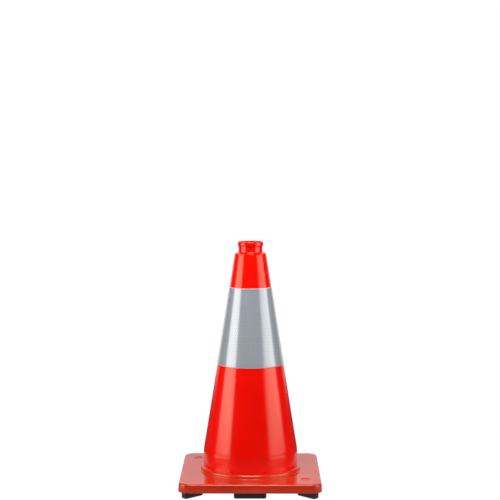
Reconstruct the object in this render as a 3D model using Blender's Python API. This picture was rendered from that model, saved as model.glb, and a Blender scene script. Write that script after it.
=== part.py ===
"""Traffic cone with a slip-on reflective collar, a weighted square base and rubber feet.

Metres, +Z up. The origin is on the floor, on the cone's axis. -Y is the front.

The cone shell drops into the base cover from below. A flange round its foot is trapped
between the cover's top plate and the ballast slab. The slab snaps behind a lip inside the
cover's skirt, and the rubber feet are pushed through holes in the slab. The collar is a
two-layer sleeve that rests on the taper and slips off over the rim.
"""

import math

import bmesh
import bpy
from mathutils import Matrix, Vector

# ---------------------------------------------------------------------- driving dimensions
HEIGHT = 0.4572              # floor to rim, 18 in
BASE_SIDE = 0.261            # square base across its flats
GAP = 0.0003                 # between pieces that touch
PVC_WALL = 0.003

# cone shell
RIM_RADIUS = 0.0239
RIM_TOP_ROUND = 0.0022
RIM_LOWER_ROUND = 0.0010
RIM_BOTTOM = 0.4487
MOUTH_RADIUS = 0.0190
MOUTH_CHAMFER = 0.0005
NECK_RADIUS = 0.0224         # the grip groove under the rim
NECK_TOP = 0.4481
NECK_FOOT_ROUND = 0.0035     # hollow curve from the neck out to the shoulder
SHOULDER_Z = 0.4341          # where the taper starts, under the shoulder
SHOULDER_RADIUS = 0.0294
SHOULDER_ROUND = 0.0010
SHOULDER_RISE = 0.0022       # from the taper's start to the foot of the neck
SHOULDER_PITCH = 8.0         # the shoulder's fall at the foot of the neck, in degrees
TAPER_FOOT_Z = 0.0715        # where the taper ends
TAPER_FOOT_RADIUS = 0.0871
TAPER_BOW = 0.00042          # how far the taper bows in at mid height
ROLL_ROUND = 0.060           # the wall rolls in under the taper ...
ROLL_ANGLE = 2.0             # ... by this many degrees past vertical ...
ROLL_HOLLOW = 0.040          # ... and back to vertical in a hollow curve
INNER_FOOT_Z = 0.0415        # the hollow is straight below this
FLANGE_RADIUS = 0.102
FLANGE_THICKNESS = 0.0025
TAPER_STEPS = 4

# base cover
BASE_TOP = 0.0282
SKIRT_BOTTOM = 0.0122
SKIRT_DRAFT = 0.0010
BASE_CORNER = 0.020
BASE_EDGE_ROUND = 0.0038
SKIRT_EDGE_CHAMFER = 0.0006
COVER_WALL = 0.0035
LIP_WIDTH = 0.0012           # inward lip that holds the slab
LIP_HEIGHT = 0.0016
SEAM_Z = 0.0360              # top of the socket ring, where the shell enters it
RING_BEAD_RADIUS = 0.0936    # socket ring at its widest
RING_BEAD_ROUND = 0.0048
RING_FILLET = 0.0015         # between the bead and the top plate
BORE_CHAMFER = 0.0006
DIMPLE_X = 0.1010
DIMPLE_Y = -0.0877
DIMPLE_RADIUS = 0.0095
DIMPLE_FLOOR_RADIUS = 0.0050
DIMPLE_DEPTH = 0.0014

# ballast slab
SLAB_OPENING_RADIUS = 0.0850
FLANGE_POCKET_RADIUS = FLANGE_RADIUS + 0.0005

# feet
SIDE_FOOT_LENGTH = 0.059
SIDE_FOOT_WIDTH = 0.014
SIDE_FOOT_CORNER = 0.0045
SIDE_FOOT_INSET = 0.0095     # outer face, in from the base's side
CORNER_FOOT_LENGTH = 0.044
CORNER_FOOT_WIDTH = 0.0150
CORNER_FOOT_CORNER = 0.0050
CORNER_FOOT_REACH = 0.1704   # outer end, from the axis along the diagonal
FOOT_EDGE_ROUND = 0.0030
SIDE_STEM_SPACING = 0.034
CORNER_STEM_SPACING = 0.020
STEM_RADIUS = 0.0038
STEM_ROOT = 0.0020           # how deep the stem runs into the bar
STEM_HEAD_RADIUS = 0.0050
STEM_HEAD_HEIGHT = 0.0032

# collar
COLLAR_BOTTOM = 0.2280
COLLAR_TOP = 0.3727
COLLAR_CLEARANCE = 0.00015    # between the shell and the sleeve
BACKING_THICKNESS = 0.0003
FILM_THICKNESS = 0.0003
FILM_GAP = 0.0001
FILM_MARGIN = 0.0010         # the film stops short of the backing's edges
COLLAR_STEPS = 2

# mesh fineness
QUARTER_POINTS = 14          # points of a loop in each quarter turn
CORNER_STEPS = 8             # of those, steps round a base corner
LOOP_POINTS = 4 * QUARTER_POINTS
ARC_STEPS = 3
STEM_POINTS = 12
DIMPLE_POINTS = 20
SHARP_ANGLE = math.radians(30)

# heights that follow from the dimensions above
COVER_UNDERSIDE = BASE_TOP - COVER_WALL
FLANGE_TOP = COVER_UNDERSIDE - GAP
FLANGE_BOTTOM = FLANGE_TOP - FLANGE_THICKNESS
SLAB_TOP = COVER_UNDERSIDE - GAP
FLANGE_SEAT = FLANGE_BOTTOM - GAP
LIP_TOP = SKIRT_BOTTOM + LIP_HEIGHT
SLAB_BOTTOM = LIP_TOP + GAP
FOOT_TOP = SLAB_BOTTOM - GAP
BASE_HALF = BASE_SIDE / 2

# ------------------------------------------------------------------------------- colours
ORANGE_PVC = (0.90, 0.004, 0.001, 1.0)
BASE_PVC = (0.65, 0.020, 0.006, 1.0)
BLACK_RUBBER = (0.012, 0.012, 0.013, 1.0)
BALLAST_BLACK = (0.022, 0.021, 0.020, 1.0)
WHITE_VINYL = (0.78, 0.80, 0.82, 1.0)
SILVER_FILM = (0.30, 0.33, 0.36, 1.0)


# ------------------------------------------------------------------------- small helpers
def clear_scene():
    for old_object in list(bpy.data.objects):
        bpy.data.objects.remove(old_object, do_unlink=True)


def make_material(name, colour, roughness, metallic=0.0):
    material = bpy.data.materials.new(name)
    material.use_nodes = True
    shader = material.node_tree.nodes["Principled BSDF"]
    shader.inputs["Base Color"].default_value = colour
    shader.inputs["Roughness"].default_value = roughness
    shader.inputs["Metallic"].default_value = metallic
    material.diffuse_color = colour
    return material


def add_object(name, mesh, material=None):
    new_object = bpy.data.objects.new(name, mesh)
    bpy.context.scene.collection.objects.link(new_object)
    if material is not None:
        mesh.materials.clear()
        mesh.materials.append(material)
    return new_object


def as_cutter(cutter):
    cutter.hide_render = True
    cutter.display_type = "WIRE"
    return cutter


def cut(target, cutter, operation="DIFFERENCE"):
    boolean = target.modifiers.new(operation.lower(), "BOOLEAN")
    boolean.operation = operation
    boolean.solver = "EXACT"
    boolean.object = cutter


def arc(centre, radius, start, end, steps=ARC_STEPS):
    """Points of a profile's arc about centre (r, z); angles in degrees from +r towards +z."""
    points = []
    for step in range(steps + 1):
        angle = math.radians(start + (end - start) * step / steps)
        points.append((centre[0] + radius * math.cos(angle), centre[1] + radius * math.sin(angle)))
    return points


# --------------------------------------------------------------------------------- loops
def circle_loop(radius, z, points=LOOP_POINTS):
    loop = []
    for index in range(points):
        angle = 2 * math.pi * index / points
        loop.append(Vector((radius * math.cos(angle), radius * math.sin(angle), z)))
    return loop


def rounded_square_loop(half, corner, z):
    """A square with round corners, point for point in step with circle_loop."""
    side_steps = (QUARTER_POINTS - CORNER_STEPS) // 2
    centre = half - corner
    quarter = []
    for step in range(side_steps):
        quarter.append((half, centre * step / side_steps))
    for step in range(CORNER_STEPS + 1):
        angle = math.pi / 2 * step / CORNER_STEPS
        quarter.append((centre + corner * math.cos(angle), centre + corner * math.sin(angle)))
    for step in range(1, side_steps):
        quarter.append((centre * (1 - step / side_steps), half))
    loop = []
    for turn in range(4):
        for x, y in quarter:
            rotated = Matrix.Rotation(turn * math.pi / 2, 2) @ Vector((x, y))
            loop.append(Vector((rotated.x, rotated.y, z)))
    return loop


def rounded_bar_loop(length, width, corner, z, corner_steps=3):
    """A rectangle along X with round corners."""
    loop = []
    centres = ((1, 1), (-1, 1), (-1, -1), (1, -1))
    for turn, (side_x, side_y) in enumerate(centres):
        for step in range(corner_steps + 1):
            angle = math.pi / 2 * (turn + step / corner_steps)
            x = side_x * (length / 2 - corner) + corner * math.cos(angle)
            y = side_y * (width / 2 - corner) + corner * math.sin(angle)
            loop.append(Vector((x, y, z)))
    return loop


def skin_loops(name, loops, ring_shaped):
    """A closed mesh through the loops, as a ring or as a plug with capped ends."""
    mesh_data = bmesh.new()
    rows = [[mesh_data.verts.new(point) for point in loop] for loop in loops]
    pairs = list(zip(rows, rows[1:]))
    if ring_shaped:
        pairs.append((rows[-1], rows[0]))
    else:
        mesh_data.faces.new(rows[0])
        mesh_data.faces.new(rows[-1])
    count = len(rows[0])
    for row, next_row in pairs:
        for index in range(count):
            following = (index + 1) % count
            mesh_data.faces.new((row[index], row[following], next_row[following], next_row[index]))
    bmesh.ops.recalc_face_normals(mesh_data, faces=mesh_data.faces)
    mesh = bpy.data.meshes.new(name)
    mesh_data.to_mesh(mesh)
    mesh_data.free()
    mesh.shade_smooth()
    mesh.set_sharp_from_angle(angle=SHARP_ANGLE)
    return mesh


def turned_mesh(name, profile, points=LOOP_POINTS, ring_shaped=True):
    """A turned solid from a profile of (r, z) points."""
    loops = [circle_loop(radius, z, points) for radius, z in profile]
    return skin_loops(name, loops, ring_shaped)


def merged_mesh(name, meshes):
    """One mesh that holds several separate closed bodies, for use as a cutter."""
    mesh_data = bmesh.new()
    for mesh in meshes:
        mesh_data.from_mesh(mesh)
    merged = bpy.data.meshes.new(name)
    mesh_data.to_mesh(merged)
    mesh_data.free()
    return merged


# ------------------------------------------------------------------------------- the cone
def taper_radius(z):
    """Outer radius of the cone's wall, bowed in slightly between shoulder and foot."""
    along = (SHOULDER_Z - z) / (SHOULDER_Z - TAPER_FOOT_Z)
    straight = SHOULDER_RADIUS + (TAPER_FOOT_RADIUS - SHOULDER_RADIUS) * along
    return straight - 4 * TAPER_BOW * along * (1 - along)


def heights(top, bottom, steps):
    return [top + (bottom - top) * step / steps for step in range(steps + 1)]


def foot_roll():
    """Under the taper the wall rolls in, then runs back to vertical in a hollow curve."""
    spread = TAPER_FOOT_RADIUS - SHOULDER_RADIUS + 4 * TAPER_BOW
    lean = math.atan2(spread, SHOULDER_Z - TAPER_FOOT_Z)
    roll = math.radians(ROLL_ANGLE)
    centre = (TAPER_FOOT_RADIUS - ROLL_ROUND * math.cos(lean), TAPER_FOOT_Z - ROLL_ROUND * math.sin(lean))
    reach = ROLL_ROUND + ROLL_HOLLOW
    hollow_centre = (centre[0] + reach * math.cos(roll), centre[1] - reach * math.sin(roll))
    profile = arc(centre, ROLL_ROUND, math.degrees(lean), -ROLL_ANGLE)
    return profile + arc(hollow_centre, ROLL_HOLLOW, 180 - ROLL_ANGLE, 180, 2)[1:]


SHELL_FOOT_RADIUS = foot_roll()[-1][0]      # the vertical wall below the roll


def shell_outer_profile():
    shoulder_top = SHOULDER_Z + SHOULDER_RISE
    neck_foot = (NECK_RADIUS + NECK_FOOT_ROUND, shoulder_top + NECK_FOOT_ROUND)
    lower_round = (RIM_RADIUS - RIM_LOWER_ROUND, RIM_BOTTOM + RIM_LOWER_ROUND)
    profile = [(MOUTH_RADIUS + MOUTH_CHAMFER, HEIGHT)]
    profile += arc((RIM_RADIUS - RIM_TOP_ROUND, HEIGHT - RIM_TOP_ROUND), RIM_TOP_ROUND, 90, 0)
    profile += arc(lower_round, RIM_LOWER_ROUND, 0, -80, 2)
    profile.append((NECK_RADIUS, NECK_TOP))
    profile += arc(neck_foot, NECK_FOOT_ROUND, 180, 270 - SHOULDER_PITCH)
    profile += arc((SHOULDER_RADIUS - SHOULDER_ROUND, SHOULDER_Z), SHOULDER_ROUND, 65, 0, 2)
    for z in heights(SHOULDER_Z, TAPER_FOOT_Z, TAPER_STEPS)[1:-1]:
        profile.append((taper_radius(z), z))
    profile += foot_roll()
    profile.append((SHELL_FOOT_RADIUS, FLANGE_TOP))
    return profile


def shell_inner_profile():
    inner_shoulder = SHOULDER_Z - PVC_WALL
    foot_inside = SHELL_FOOT_RADIUS - PVC_WALL
    profile = [(foot_inside, FLANGE_BOTTOM), (foot_inside, INNER_FOOT_Z)]
    for z in heights(TAPER_FOOT_Z, inner_shoulder, TAPER_STEPS):
        profile.append((taper_radius(z) - PVC_WALL, z))
    profile.append((MOUTH_RADIUS, inner_shoulder + PVC_WALL))
    profile.append((MOUTH_RADIUS, HEIGHT - MOUTH_CHAMFER))
    return profile


def build_cone_shell(material):
    flange = [(FLANGE_RADIUS, FLANGE_TOP), (FLANGE_RADIUS, FLANGE_BOTTOM)]
    profile = shell_outer_profile() + flange + shell_inner_profile()
    return add_object("cone_shell", turned_mesh("cone_shell", profile), material)


# ------------------------------------------------------------------------------- the base
def socket_ring_profile():
    """From the fillet on the top plate, over the round bead, to the foot of the cone's hole."""
    bead_centre = (RING_BEAD_RADIUS - RING_BEAD_ROUND, SEAM_Z - RING_BEAD_ROUND)
    fillet_z = BASE_TOP + RING_FILLET
    reach = RING_BEAD_ROUND + RING_FILLET
    dip = math.asin((bead_centre[1] - fillet_z) / reach)
    fillet_centre = (bead_centre[0] + reach * math.cos(dip), fillet_z)
    bore_radius = SHELL_FOOT_RADIUS + GAP
    profile = arc(fillet_centre, RING_FILLET, 270, 180 - math.degrees(dip), 2)
    profile += arc(bead_centre, RING_BEAD_ROUND, -math.degrees(dip), 90, 5)[1:]
    profile.append((bore_radius + BORE_CHAMFER, SEAM_Z))
    profile.append((bore_radius, SEAM_Z - BORE_CHAMFER))
    profile.append((bore_radius, COVER_UNDERSIDE))
    return profile


def dimple_cutter(side):
    """Shallow round sink in the top plate: one in each of two opposite corners."""
    profile = [
        (DIMPLE_RADIUS, DIMPLE_DEPTH),
        (DIMPLE_RADIUS, 0.0),
        (DIMPLE_FLOOR_RADIUS, -DIMPLE_DEPTH),
    ]
    mesh = turned_mesh("dimple", profile, DIMPLE_POINTS, ring_shaped=False)
    cutter = as_cutter(add_object("dimple_cutter", mesh))
    cutter.location = (side * DIMPLE_X, side * DIMPLE_Y, BASE_TOP)
    return cutter


def build_base_cover(material):
    pocket_half = BASE_HALF - COVER_WALL
    pocket_corner = BASE_CORNER - COVER_WALL
    lip_half = pocket_half - LIP_WIDTH
    lip_corner = pocket_corner - LIP_WIDTH
    loops = [
        rounded_square_loop(lip_half, lip_corner, SKIRT_BOTTOM),
        rounded_square_loop(BASE_HALF - SKIRT_EDGE_CHAMFER, BASE_CORNER - SKIRT_EDGE_CHAMFER, SKIRT_BOTTOM),
        rounded_square_loop(BASE_HALF, BASE_CORNER, SKIRT_BOTTOM + SKIRT_EDGE_CHAMFER),
    ]
    edge_centre = (BASE_HALF - SKIRT_DRAFT - BASE_EDGE_ROUND, BASE_TOP - BASE_EDGE_ROUND)
    for half, z in arc(edge_centre, BASE_EDGE_ROUND, 0, 90):
        loops.append(rounded_square_loop(half, BASE_CORNER - (BASE_HALF - half), z))
    for radius, z in socket_ring_profile():
        loops.append(circle_loop(radius, z))
    loops.append(rounded_square_loop(pocket_half, pocket_corner, COVER_UNDERSIDE))
    loops.append(rounded_square_loop(pocket_half, pocket_corner, LIP_TOP))
    loops.append(rounded_square_loop(lip_half, lip_corner, LIP_TOP))
    cover = add_object("base_cover", skin_loops("base_cover", loops, True), material)
    for side in (1, -1):
        cut(cover, dimple_cutter(side))
    return cover


def stem_mesh():
    """A foot's stem, which widens to a barbed head with a tapered lead-in."""
    head_bottom = SLAB_TOP - STEM_HEAD_HEIGHT
    profile = [
        (STEM_RADIUS, FOOT_TOP - STEM_ROOT),
        (STEM_RADIUS, head_bottom),
        (STEM_HEAD_RADIUS, head_bottom),
        (STEM_HEAD_RADIUS, head_bottom + STEM_HEAD_HEIGHT / 2),
        (STEM_RADIUS, SLAB_TOP - GAP),
    ]
    return turned_mesh("stem", profile, STEM_POINTS, ring_shaped=False)


def stem_hole_mesh():
    """The stepped hole in the slab that takes a stem."""
    step_z = SLAB_TOP - STEM_HEAD_HEIGHT - GAP
    profile = [
        (STEM_RADIUS + GAP, SLAB_BOTTOM - GAP),
        (STEM_RADIUS + GAP, step_z),
        (STEM_HEAD_RADIUS + GAP, step_z),
        (STEM_HEAD_RADIUS + GAP, SLAB_TOP + GAP),
    ]
    return turned_mesh("stem_hole", profile, STEM_POINTS, ring_shaped=False)


def foot_places():
    """Each foot's name, turn about the axis, radius to the bar's middle and kind."""
    side_radius = BASE_HALF - SIDE_FOOT_INSET - SIDE_FOOT_WIDTH / 2
    corner_radius = CORNER_FOOT_REACH - CORNER_FOOT_LENGTH / 2
    places = []
    sides = ("foot_right", "foot_back", "foot_left", "foot_front")
    corners = ("foot_back_right", "foot_back_left", "foot_front_left", "foot_front_right")
    for index, name in enumerate(sides):
        places.append((name, index * math.pi / 2, side_radius, "side"))
    for index, name in enumerate(corners):
        places.append((name, (index + 0.5) * math.pi / 2, corner_radius, "corner"))
    return places


def stem_offsets(kind):
    """A foot's stem centres, in the foot's own frame: X along the radius."""
    if kind == "side":
        return [(0.0, side * SIDE_STEM_SPACING / 2) for side in (1, -1)]
    return [(side * CORNER_STEM_SPACING / 2, 0.0) for side in (1, -1)]


def build_ballast_slab(material):
    half = BASE_HALF - COVER_WALL - GAP
    corner = BASE_CORNER - COVER_WALL - GAP
    loops = [
        rounded_square_loop(half, corner, SLAB_BOTTOM),
        rounded_square_loop(half, corner, SLAB_TOP),
        circle_loop(FLANGE_POCKET_RADIUS, SLAB_TOP),
        circle_loop(FLANGE_POCKET_RADIUS, FLANGE_SEAT),
        circle_loop(SLAB_OPENING_RADIUS, FLANGE_SEAT),
        circle_loop(SLAB_OPENING_RADIUS, SLAB_BOTTOM),
    ]
    slab = add_object("ballast_slab", skin_loops("ballast_slab", loops, True), material)
    holes = []
    for name, turn, radius, kind in foot_places():
        for x, y in stem_offsets(kind):
            hole = stem_hole_mesh()
            place = Matrix.Rotation(turn, 4, "Z") @ Matrix.Translation((radius + x, y, 0))
            hole.transform(place)
            holes.append(hole)
    cut(slab, as_cutter(add_object("stem_holes", merged_mesh("stem_holes", holes))))
    return slab


# ------------------------------------------------------------------------------- the feet
def foot_bar_mesh(name, length, width, corner):
    """The bar that stands on the floor, with its bottom edge rounded."""
    loops = []
    for inset, z in arc((FOOT_EDGE_ROUND, FOOT_EDGE_ROUND), FOOT_EDGE_ROUND, 270, 180, 2):
        loops.append(rounded_bar_loop(length - 2 * inset, width - 2 * inset, corner - inset, z))
    loops.append(rounded_bar_loop(length, width, corner, FOOT_TOP))
    return skin_loops(name, loops, ring_shaped=False)


def foot_mesh(name, bar, kind):
    """The bar with its two stems, as one solid."""
    bar_object = add_object(name, bar)
    guides = []
    for x, y in stem_offsets(kind):
        stem = add_object("stem", stem_mesh())
        stem.location = (x, y, 0)
        guides.append(stem)
        cut(bar_object, stem, "UNION")
    view = bpy.context.evaluated_depsgraph_get()
    solid = bpy.data.meshes.new_from_object(bar_object.evaluated_get(view))
    solid.name = name
    for guide in guides + [bar_object]:
        bpy.data.objects.remove(guide, do_unlink=True)
    return solid


def build_feet(material):
    side_bar = foot_bar_mesh("side_bar", SIDE_FOOT_LENGTH, SIDE_FOOT_WIDTH, SIDE_FOOT_CORNER)
    side_bar.transform(Matrix.Rotation(math.pi / 2, 4, "Z"))
    corner_bar = foot_bar_mesh("corner_bar", CORNER_FOOT_LENGTH, CORNER_FOOT_WIDTH,
                               CORNER_FOOT_CORNER)
    solids = {
        "side": foot_mesh("side_foot", side_bar, "side"),
        "corner": foot_mesh("corner_foot", corner_bar, "corner"),
    }
    for name, turn, radius, kind in foot_places():
        foot = add_object(name, solids[kind], material)
        foot.location = (radius * math.cos(turn), radius * math.sin(turn), 0)
        foot.rotation_euler = (0, 0, turn)


# ------------------------------------------------------------------------------ the collar
def sleeve_mesh(name, clearance, thickness, top, bottom):
    """A conical sleeve that stands off the taper by the clearance."""
    outer = [(taper_radius(z) + clearance + thickness, z) for z in heights(top, bottom, COLLAR_STEPS)]
    inner = [(taper_radius(z) + clearance, z) for z in heights(bottom, top, COLLAR_STEPS)]
    return turned_mesh(name, outer + inner)


def build_collar(backing_material, film_material):
    """Backing and film hang from an empty on the axis along which the collar slips off."""
    slide = bpy.data.objects.new("collar_slide", None)
    bpy.context.scene.collection.objects.link(slide)
    slide.location = (0, 0, COLLAR_BOTTOM)
    backing = sleeve_mesh("collar_backing", COLLAR_CLEARANCE, BACKING_THICKNESS,
                          COLLAR_TOP, COLLAR_BOTTOM)
    film_clearance = COLLAR_CLEARANCE + BACKING_THICKNESS + FILM_GAP
    film = sleeve_mesh("collar_film", film_clearance, FILM_THICKNESS,
                       COLLAR_TOP - FILM_MARGIN, COLLAR_BOTTOM + FILM_MARGIN)
    for name, mesh, material in (
        ("collar_backing", backing, backing_material),
        ("collar_prism_film", film, film_material),
    ):
        mesh.transform(Matrix.Translation((0, 0, -COLLAR_BOTTOM)))
        layer = add_object(name, mesh, material)
        layer.parent = slide


def main():
    clear_scene()
    build_cone_shell(make_material("orange_pvc", ORANGE_PVC, 0.25))
    build_base_cover(make_material("base_pvc", BASE_PVC, 0.22))
    build_ballast_slab(make_material("ballast_rubber", BALLAST_BLACK, 0.75))
    build_feet(make_material("foot_rubber", BLACK_RUBBER, 0.55))
    build_collar(
        make_material("white_vinyl", WHITE_VINYL, 0.35),
        make_material("prism_film", SILVER_FILM, 0.20),
    )


main()
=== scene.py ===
"""Looks of the traffic cone: fine moulded surfaces, honeycomb collar, rubber feet, studio.

Metres, +Z up, -Y towards the camera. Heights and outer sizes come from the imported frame.
"""
import math

import bmesh
import bpy
import numpy as np
from mathutils import Matrix, Vector, noise


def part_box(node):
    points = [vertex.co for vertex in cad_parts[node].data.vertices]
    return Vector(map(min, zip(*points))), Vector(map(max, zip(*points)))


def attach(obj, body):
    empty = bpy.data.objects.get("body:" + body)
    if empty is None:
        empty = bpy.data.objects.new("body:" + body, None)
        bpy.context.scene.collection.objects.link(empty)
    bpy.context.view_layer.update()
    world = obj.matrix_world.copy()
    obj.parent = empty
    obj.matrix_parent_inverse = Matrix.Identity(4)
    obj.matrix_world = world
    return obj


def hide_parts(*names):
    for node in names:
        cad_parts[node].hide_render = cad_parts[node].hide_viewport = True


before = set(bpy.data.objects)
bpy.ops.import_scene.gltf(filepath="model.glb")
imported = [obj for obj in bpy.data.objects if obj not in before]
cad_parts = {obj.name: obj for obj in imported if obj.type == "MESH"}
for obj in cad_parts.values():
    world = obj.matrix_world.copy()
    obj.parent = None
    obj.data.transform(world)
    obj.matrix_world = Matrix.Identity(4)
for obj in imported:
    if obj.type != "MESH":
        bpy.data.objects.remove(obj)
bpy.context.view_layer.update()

# ------------------------------------------------------------- sizes read from the frame
SHELL_LOW, SHELL_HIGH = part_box("cone_shell")
COVER_LOW, COVER_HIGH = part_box("base_cover")
SLAB_LOW, SLAB_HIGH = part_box("ballast_slab")
BACKING_LOW, BACKING_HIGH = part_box("collar_backing")
FILM_LOW, FILM_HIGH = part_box("collar_prism_film")

RIM_Z = SHELL_HIGH.z
FLANGE_RADIUS = SHELL_HIGH.x
FLANGE_BOTTOM = SHELL_LOW.z
BASE_HALF = COVER_HIGH.x
SKIRT_BOTTOM = COVER_LOW.z
SEAM_Z = COVER_HIGH.z
SLAB_HALF = SLAB_HIGH.x
GAP = 0.0003

# ------------------------------------------------------------------------ cone shell
PVC_WALL = 0.003
RIM_RADIUS = 0.0239
RIM_TOP_ROUND = 0.0022
RIM_LOWER_ROUND = 0.0010
RIM_BOTTOM = RIM_Z - 0.0085
MOUTH_RADIUS = 0.0190
MOUTH_ROUND = 0.0008
NECK_RADIUS = 0.0224
NECK_TOP = RIM_Z - 0.0091
NECK_FOOT_ROUND = 0.0035
SHOULDER_Z = RIM_Z - 0.0231
SHOULDER_RISE = 0.0022
SHOULDER_PITCH = 8.0
SHOULDER_RADIUS = 0.0294
SHOULDER_ROUND = 0.0010
SHOULDER_ARC = (65, 9)       # degrees, from the shoulder's fall to the taper's slope
INNER_SHOULDER_RISE = 0.0024
TAPER_FOOT_Z = 0.0715
TAPER_FOOT_RADIUS = 0.0871
TAPER_BOW = 0.00042
ROLL_ROUND = 0.060           # the wall rolls in under the taper ...
ROLL_ANGLE = 2.0             # ... by this many degrees past vertical ...
ROLL_HOLLOW = 0.040          # ... and comes back to vertical in a hollow curve
INNER_FOOT_Z = 0.0415
FLANGE_THICKNESS = 0.0025
FLANGE_ROUND = 0.0006
TAPER_ROWS = 90
RIPPLE_DEPTH = 0.00006       # unevenness of soft moulded plastic
RIPPLE_SIZE = 0.055
RIPPLE_MARGIN = 0.004        # none this near to the shoulder and the seam ...
RIPPLE_FADE = 0.02           # ... and all of it after this much more

# ------------------------------------------------------------------------ base cover
COVER_WALL = 0.0035
BASE_TOP = SEAM_Z - 0.0078
COVER_UNDERSIDE = BASE_TOP - COVER_WALL
SKIRT_DRAFT = 0.0010
BASE_CORNER = 0.020
BASE_EDGE_ROUND = 0.0038
SKIRT_EDGE_ROUND = 0.0006
LIP_WIDTH = 0.0012
LIP_HEIGHT = 0.0016
RING_BEAD_RADIUS = 0.0936
RING_BEAD_ROUND = 0.0048
RING_FILLET = 0.0015
BORE_ROUND = 0.0006
DIMPLE_PLACE = (0.1010, -0.0877)
DIMPLE_RADIUS = 0.0095
DIMPLE_DEPTH = 0.0014
DIMPLE_EASE = 0.0012         # half the width of the sink's soft edge
DIMPLE_SLOPE = 0.0035        # from the sink's radius in to its floor
PLATE_ROWS = 26
PLATE_SAG = 0.00022          # uneven sinking of the top plate
SAG_SIZE = 0.045
SAG_SHIFT = 0.4              # makes it sink more than it rises
SAG_FADE = 5                 # it fades over one part in this many, at both ends of a row

# ------------------------------------------------------------------- slab and feet
SLAB_OPENING_RADIUS = 0.0850
FLANGE_POCKET_RADIUS = FLANGE_RADIUS + 0.0005
FLANGE_SEAT = FLANGE_BOTTOM - GAP
SLAB_EDGE_ROUND = 0.0008
CRUMB_DEPTH = 0.00022        # how far rubber crumbs stand out of the slab
CRUMB_SIZE = 0.0016
CRUMB_ROWS = 60
CORNER_BAR_LENGTH = 0.044
CORNER_BAR_WIDTH = 0.015
CORNER_BAR_CORNER = 0.0050
SIDE_BAR_CORNER = 0.0045
BAR_EDGE_ROUND = 0.0030
BAR_TOP_CHAMFER = 0.0004
FOOT_TOP = SLAB_LOW.z - GAP
SIDE_STEM_SPACING = 0.034
CORNER_STEM_SPACING = 0.020
STEM_RADIUS = 0.0038
STEM_ROOT = 0.0020
STEM_HEAD_RADIUS = 0.0050
STEM_HEAD_HEIGHT = 0.0032

# ------------------------------------------------------------------------ collar
BACKING_THICKNESS = 0.0003
FILM_THICKNESS = 0.0003
CELL_SIDE = 0.00277          # side of a honeycomb cell
WELD_HALF_WIDTH = 0.00030
PILLOW_EDGE = 0.00045        # width of the slope between a weld line and a cell's face
PILLOW_RISE = 0.00002
PILLOW_CROWN = 0.00003
FILM_BUTT = math.radians(0.4)    # half of the gap where the sheet's ends meet
OVERLAP_WIDTH = 0.014
OVERLAP_THICKNESS = 0.00035
OVERLAP_BORDER = 0.0016
OVERLAP_GAP = 0.00005        # between the overlap and the film under it
TINY = 1e-7                  # points nearer than this are one point

# ------------------------------------------------------------------------ fineness
QUARTER_POINTS = 64
CORNER_STEPS = 24
LOOP_POINTS = 4 * QUARTER_POINTS
ARC_STEPS = 8
SHARP_ANGLE = math.radians(32)


# ------------------------------------------------------------------------ mesh helpers
def mesh_object(name, mesh):
    new_object = bpy.data.objects.new(name, mesh)
    bpy.context.scene.collection.objects.link(new_object)
    return new_object


def tidy_mesh(mesh):
    """Outward normals and smooth shading with crisp edges."""
    work = bmesh.new()
    work.from_mesh(mesh)
    bmesh.ops.recalc_face_normals(work, faces=work.faces)
    work.to_mesh(mesh)
    work.free()
    mesh.shade_smooth()
    mesh.set_sharp_from_angle(angle=SHARP_ANGLE)
    return mesh


def skin(name, rows, ring_shaped=True):
    """A closed mesh through rows of points, as a ring or as a plug with capped ends."""
    rows = np.asarray(rows, float)
    row_count, point_count = rows.shape[:2]
    index = np.arange(row_count * point_count).reshape(row_count, point_count)
    lower = index if ring_shaped else index[:-1]
    upper = np.roll(index, -1, axis=0) if ring_shaped else index[1:]
    corners = (lower, np.roll(lower, -1, axis=1), np.roll(upper, -1, axis=1), upper)
    faces = np.stack(corners, axis=-1).reshape(-1, 4).tolist()
    if not ring_shaped:
        faces += [index[0].tolist(), index[-1].tolist()]
    mesh = bpy.data.meshes.new(name)
    mesh.from_pydata(rows.reshape(-1, 3).tolist(), [], faces)
    return tidy_mesh(mesh)


def circle(radius, z, points=LOOP_POINTS):
    angle = np.arange(points) * 2 * math.pi / points
    return np.stack([radius * np.cos(angle), radius * np.sin(angle), np.full(points, z)], axis=-1)


def rounded_square(half, corner, z):
    """A square with round corners, in step with circle()."""
    side_steps = (QUARTER_POINTS - CORNER_STEPS) // 2
    centre = half - corner
    along = np.arange(side_steps) / side_steps
    turn = np.arange(CORNER_STEPS + 1) * math.pi / 2 / CORNER_STEPS
    x = np.concatenate([np.full(side_steps, half), centre + corner * np.cos(turn),
                        centre * (1 - along[1:])])
    y = np.concatenate([centre * along, centre + corner * np.sin(turn),
                        np.full(side_steps - 1, half)])
    quarters = []
    for _ in range(4):
        quarters.append(np.stack([x, y], axis=-1))
        x, y = -y, x
    flat = np.concatenate(quarters)
    return np.concatenate([flat, np.full((len(flat), 1), z)], axis=-1)


def bar_loop(length, width, corner, z, corner_steps=14):
    """A rectangle along X with round corners."""
    turn = np.arange(corner_steps + 1) / corner_steps
    sides = ((1, 1), (-1, 1), (-1, -1), (1, -1))
    points = []
    for quarter, (side_x, side_y) in enumerate(sides):
        for share in turn:
            angle = math.pi / 2 * (quarter + share)
            x = side_x * (length / 2 - corner) + corner * math.cos(angle)
            y = side_y * (width / 2 - corner) + corner * math.sin(angle)
            points.append((x, y, z))
    return points


def arc(centre, radius, start, end, steps=ARC_STEPS):
    """Profile points (r, z) about centre, from start to end in degrees from +r towards +z."""
    angle = np.radians(np.linspace(start, end, steps + 1))
    across = centre[0] + radius * np.cos(angle)
    up = centre[1] + radius * np.sin(angle)
    return list(zip(across, up))


def turned(name, profile, points=LOOP_POINTS, ring_shaped=True):
    return skin(name, [circle(radius, z, points) for radius, z in profile], ring_shaped)


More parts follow.
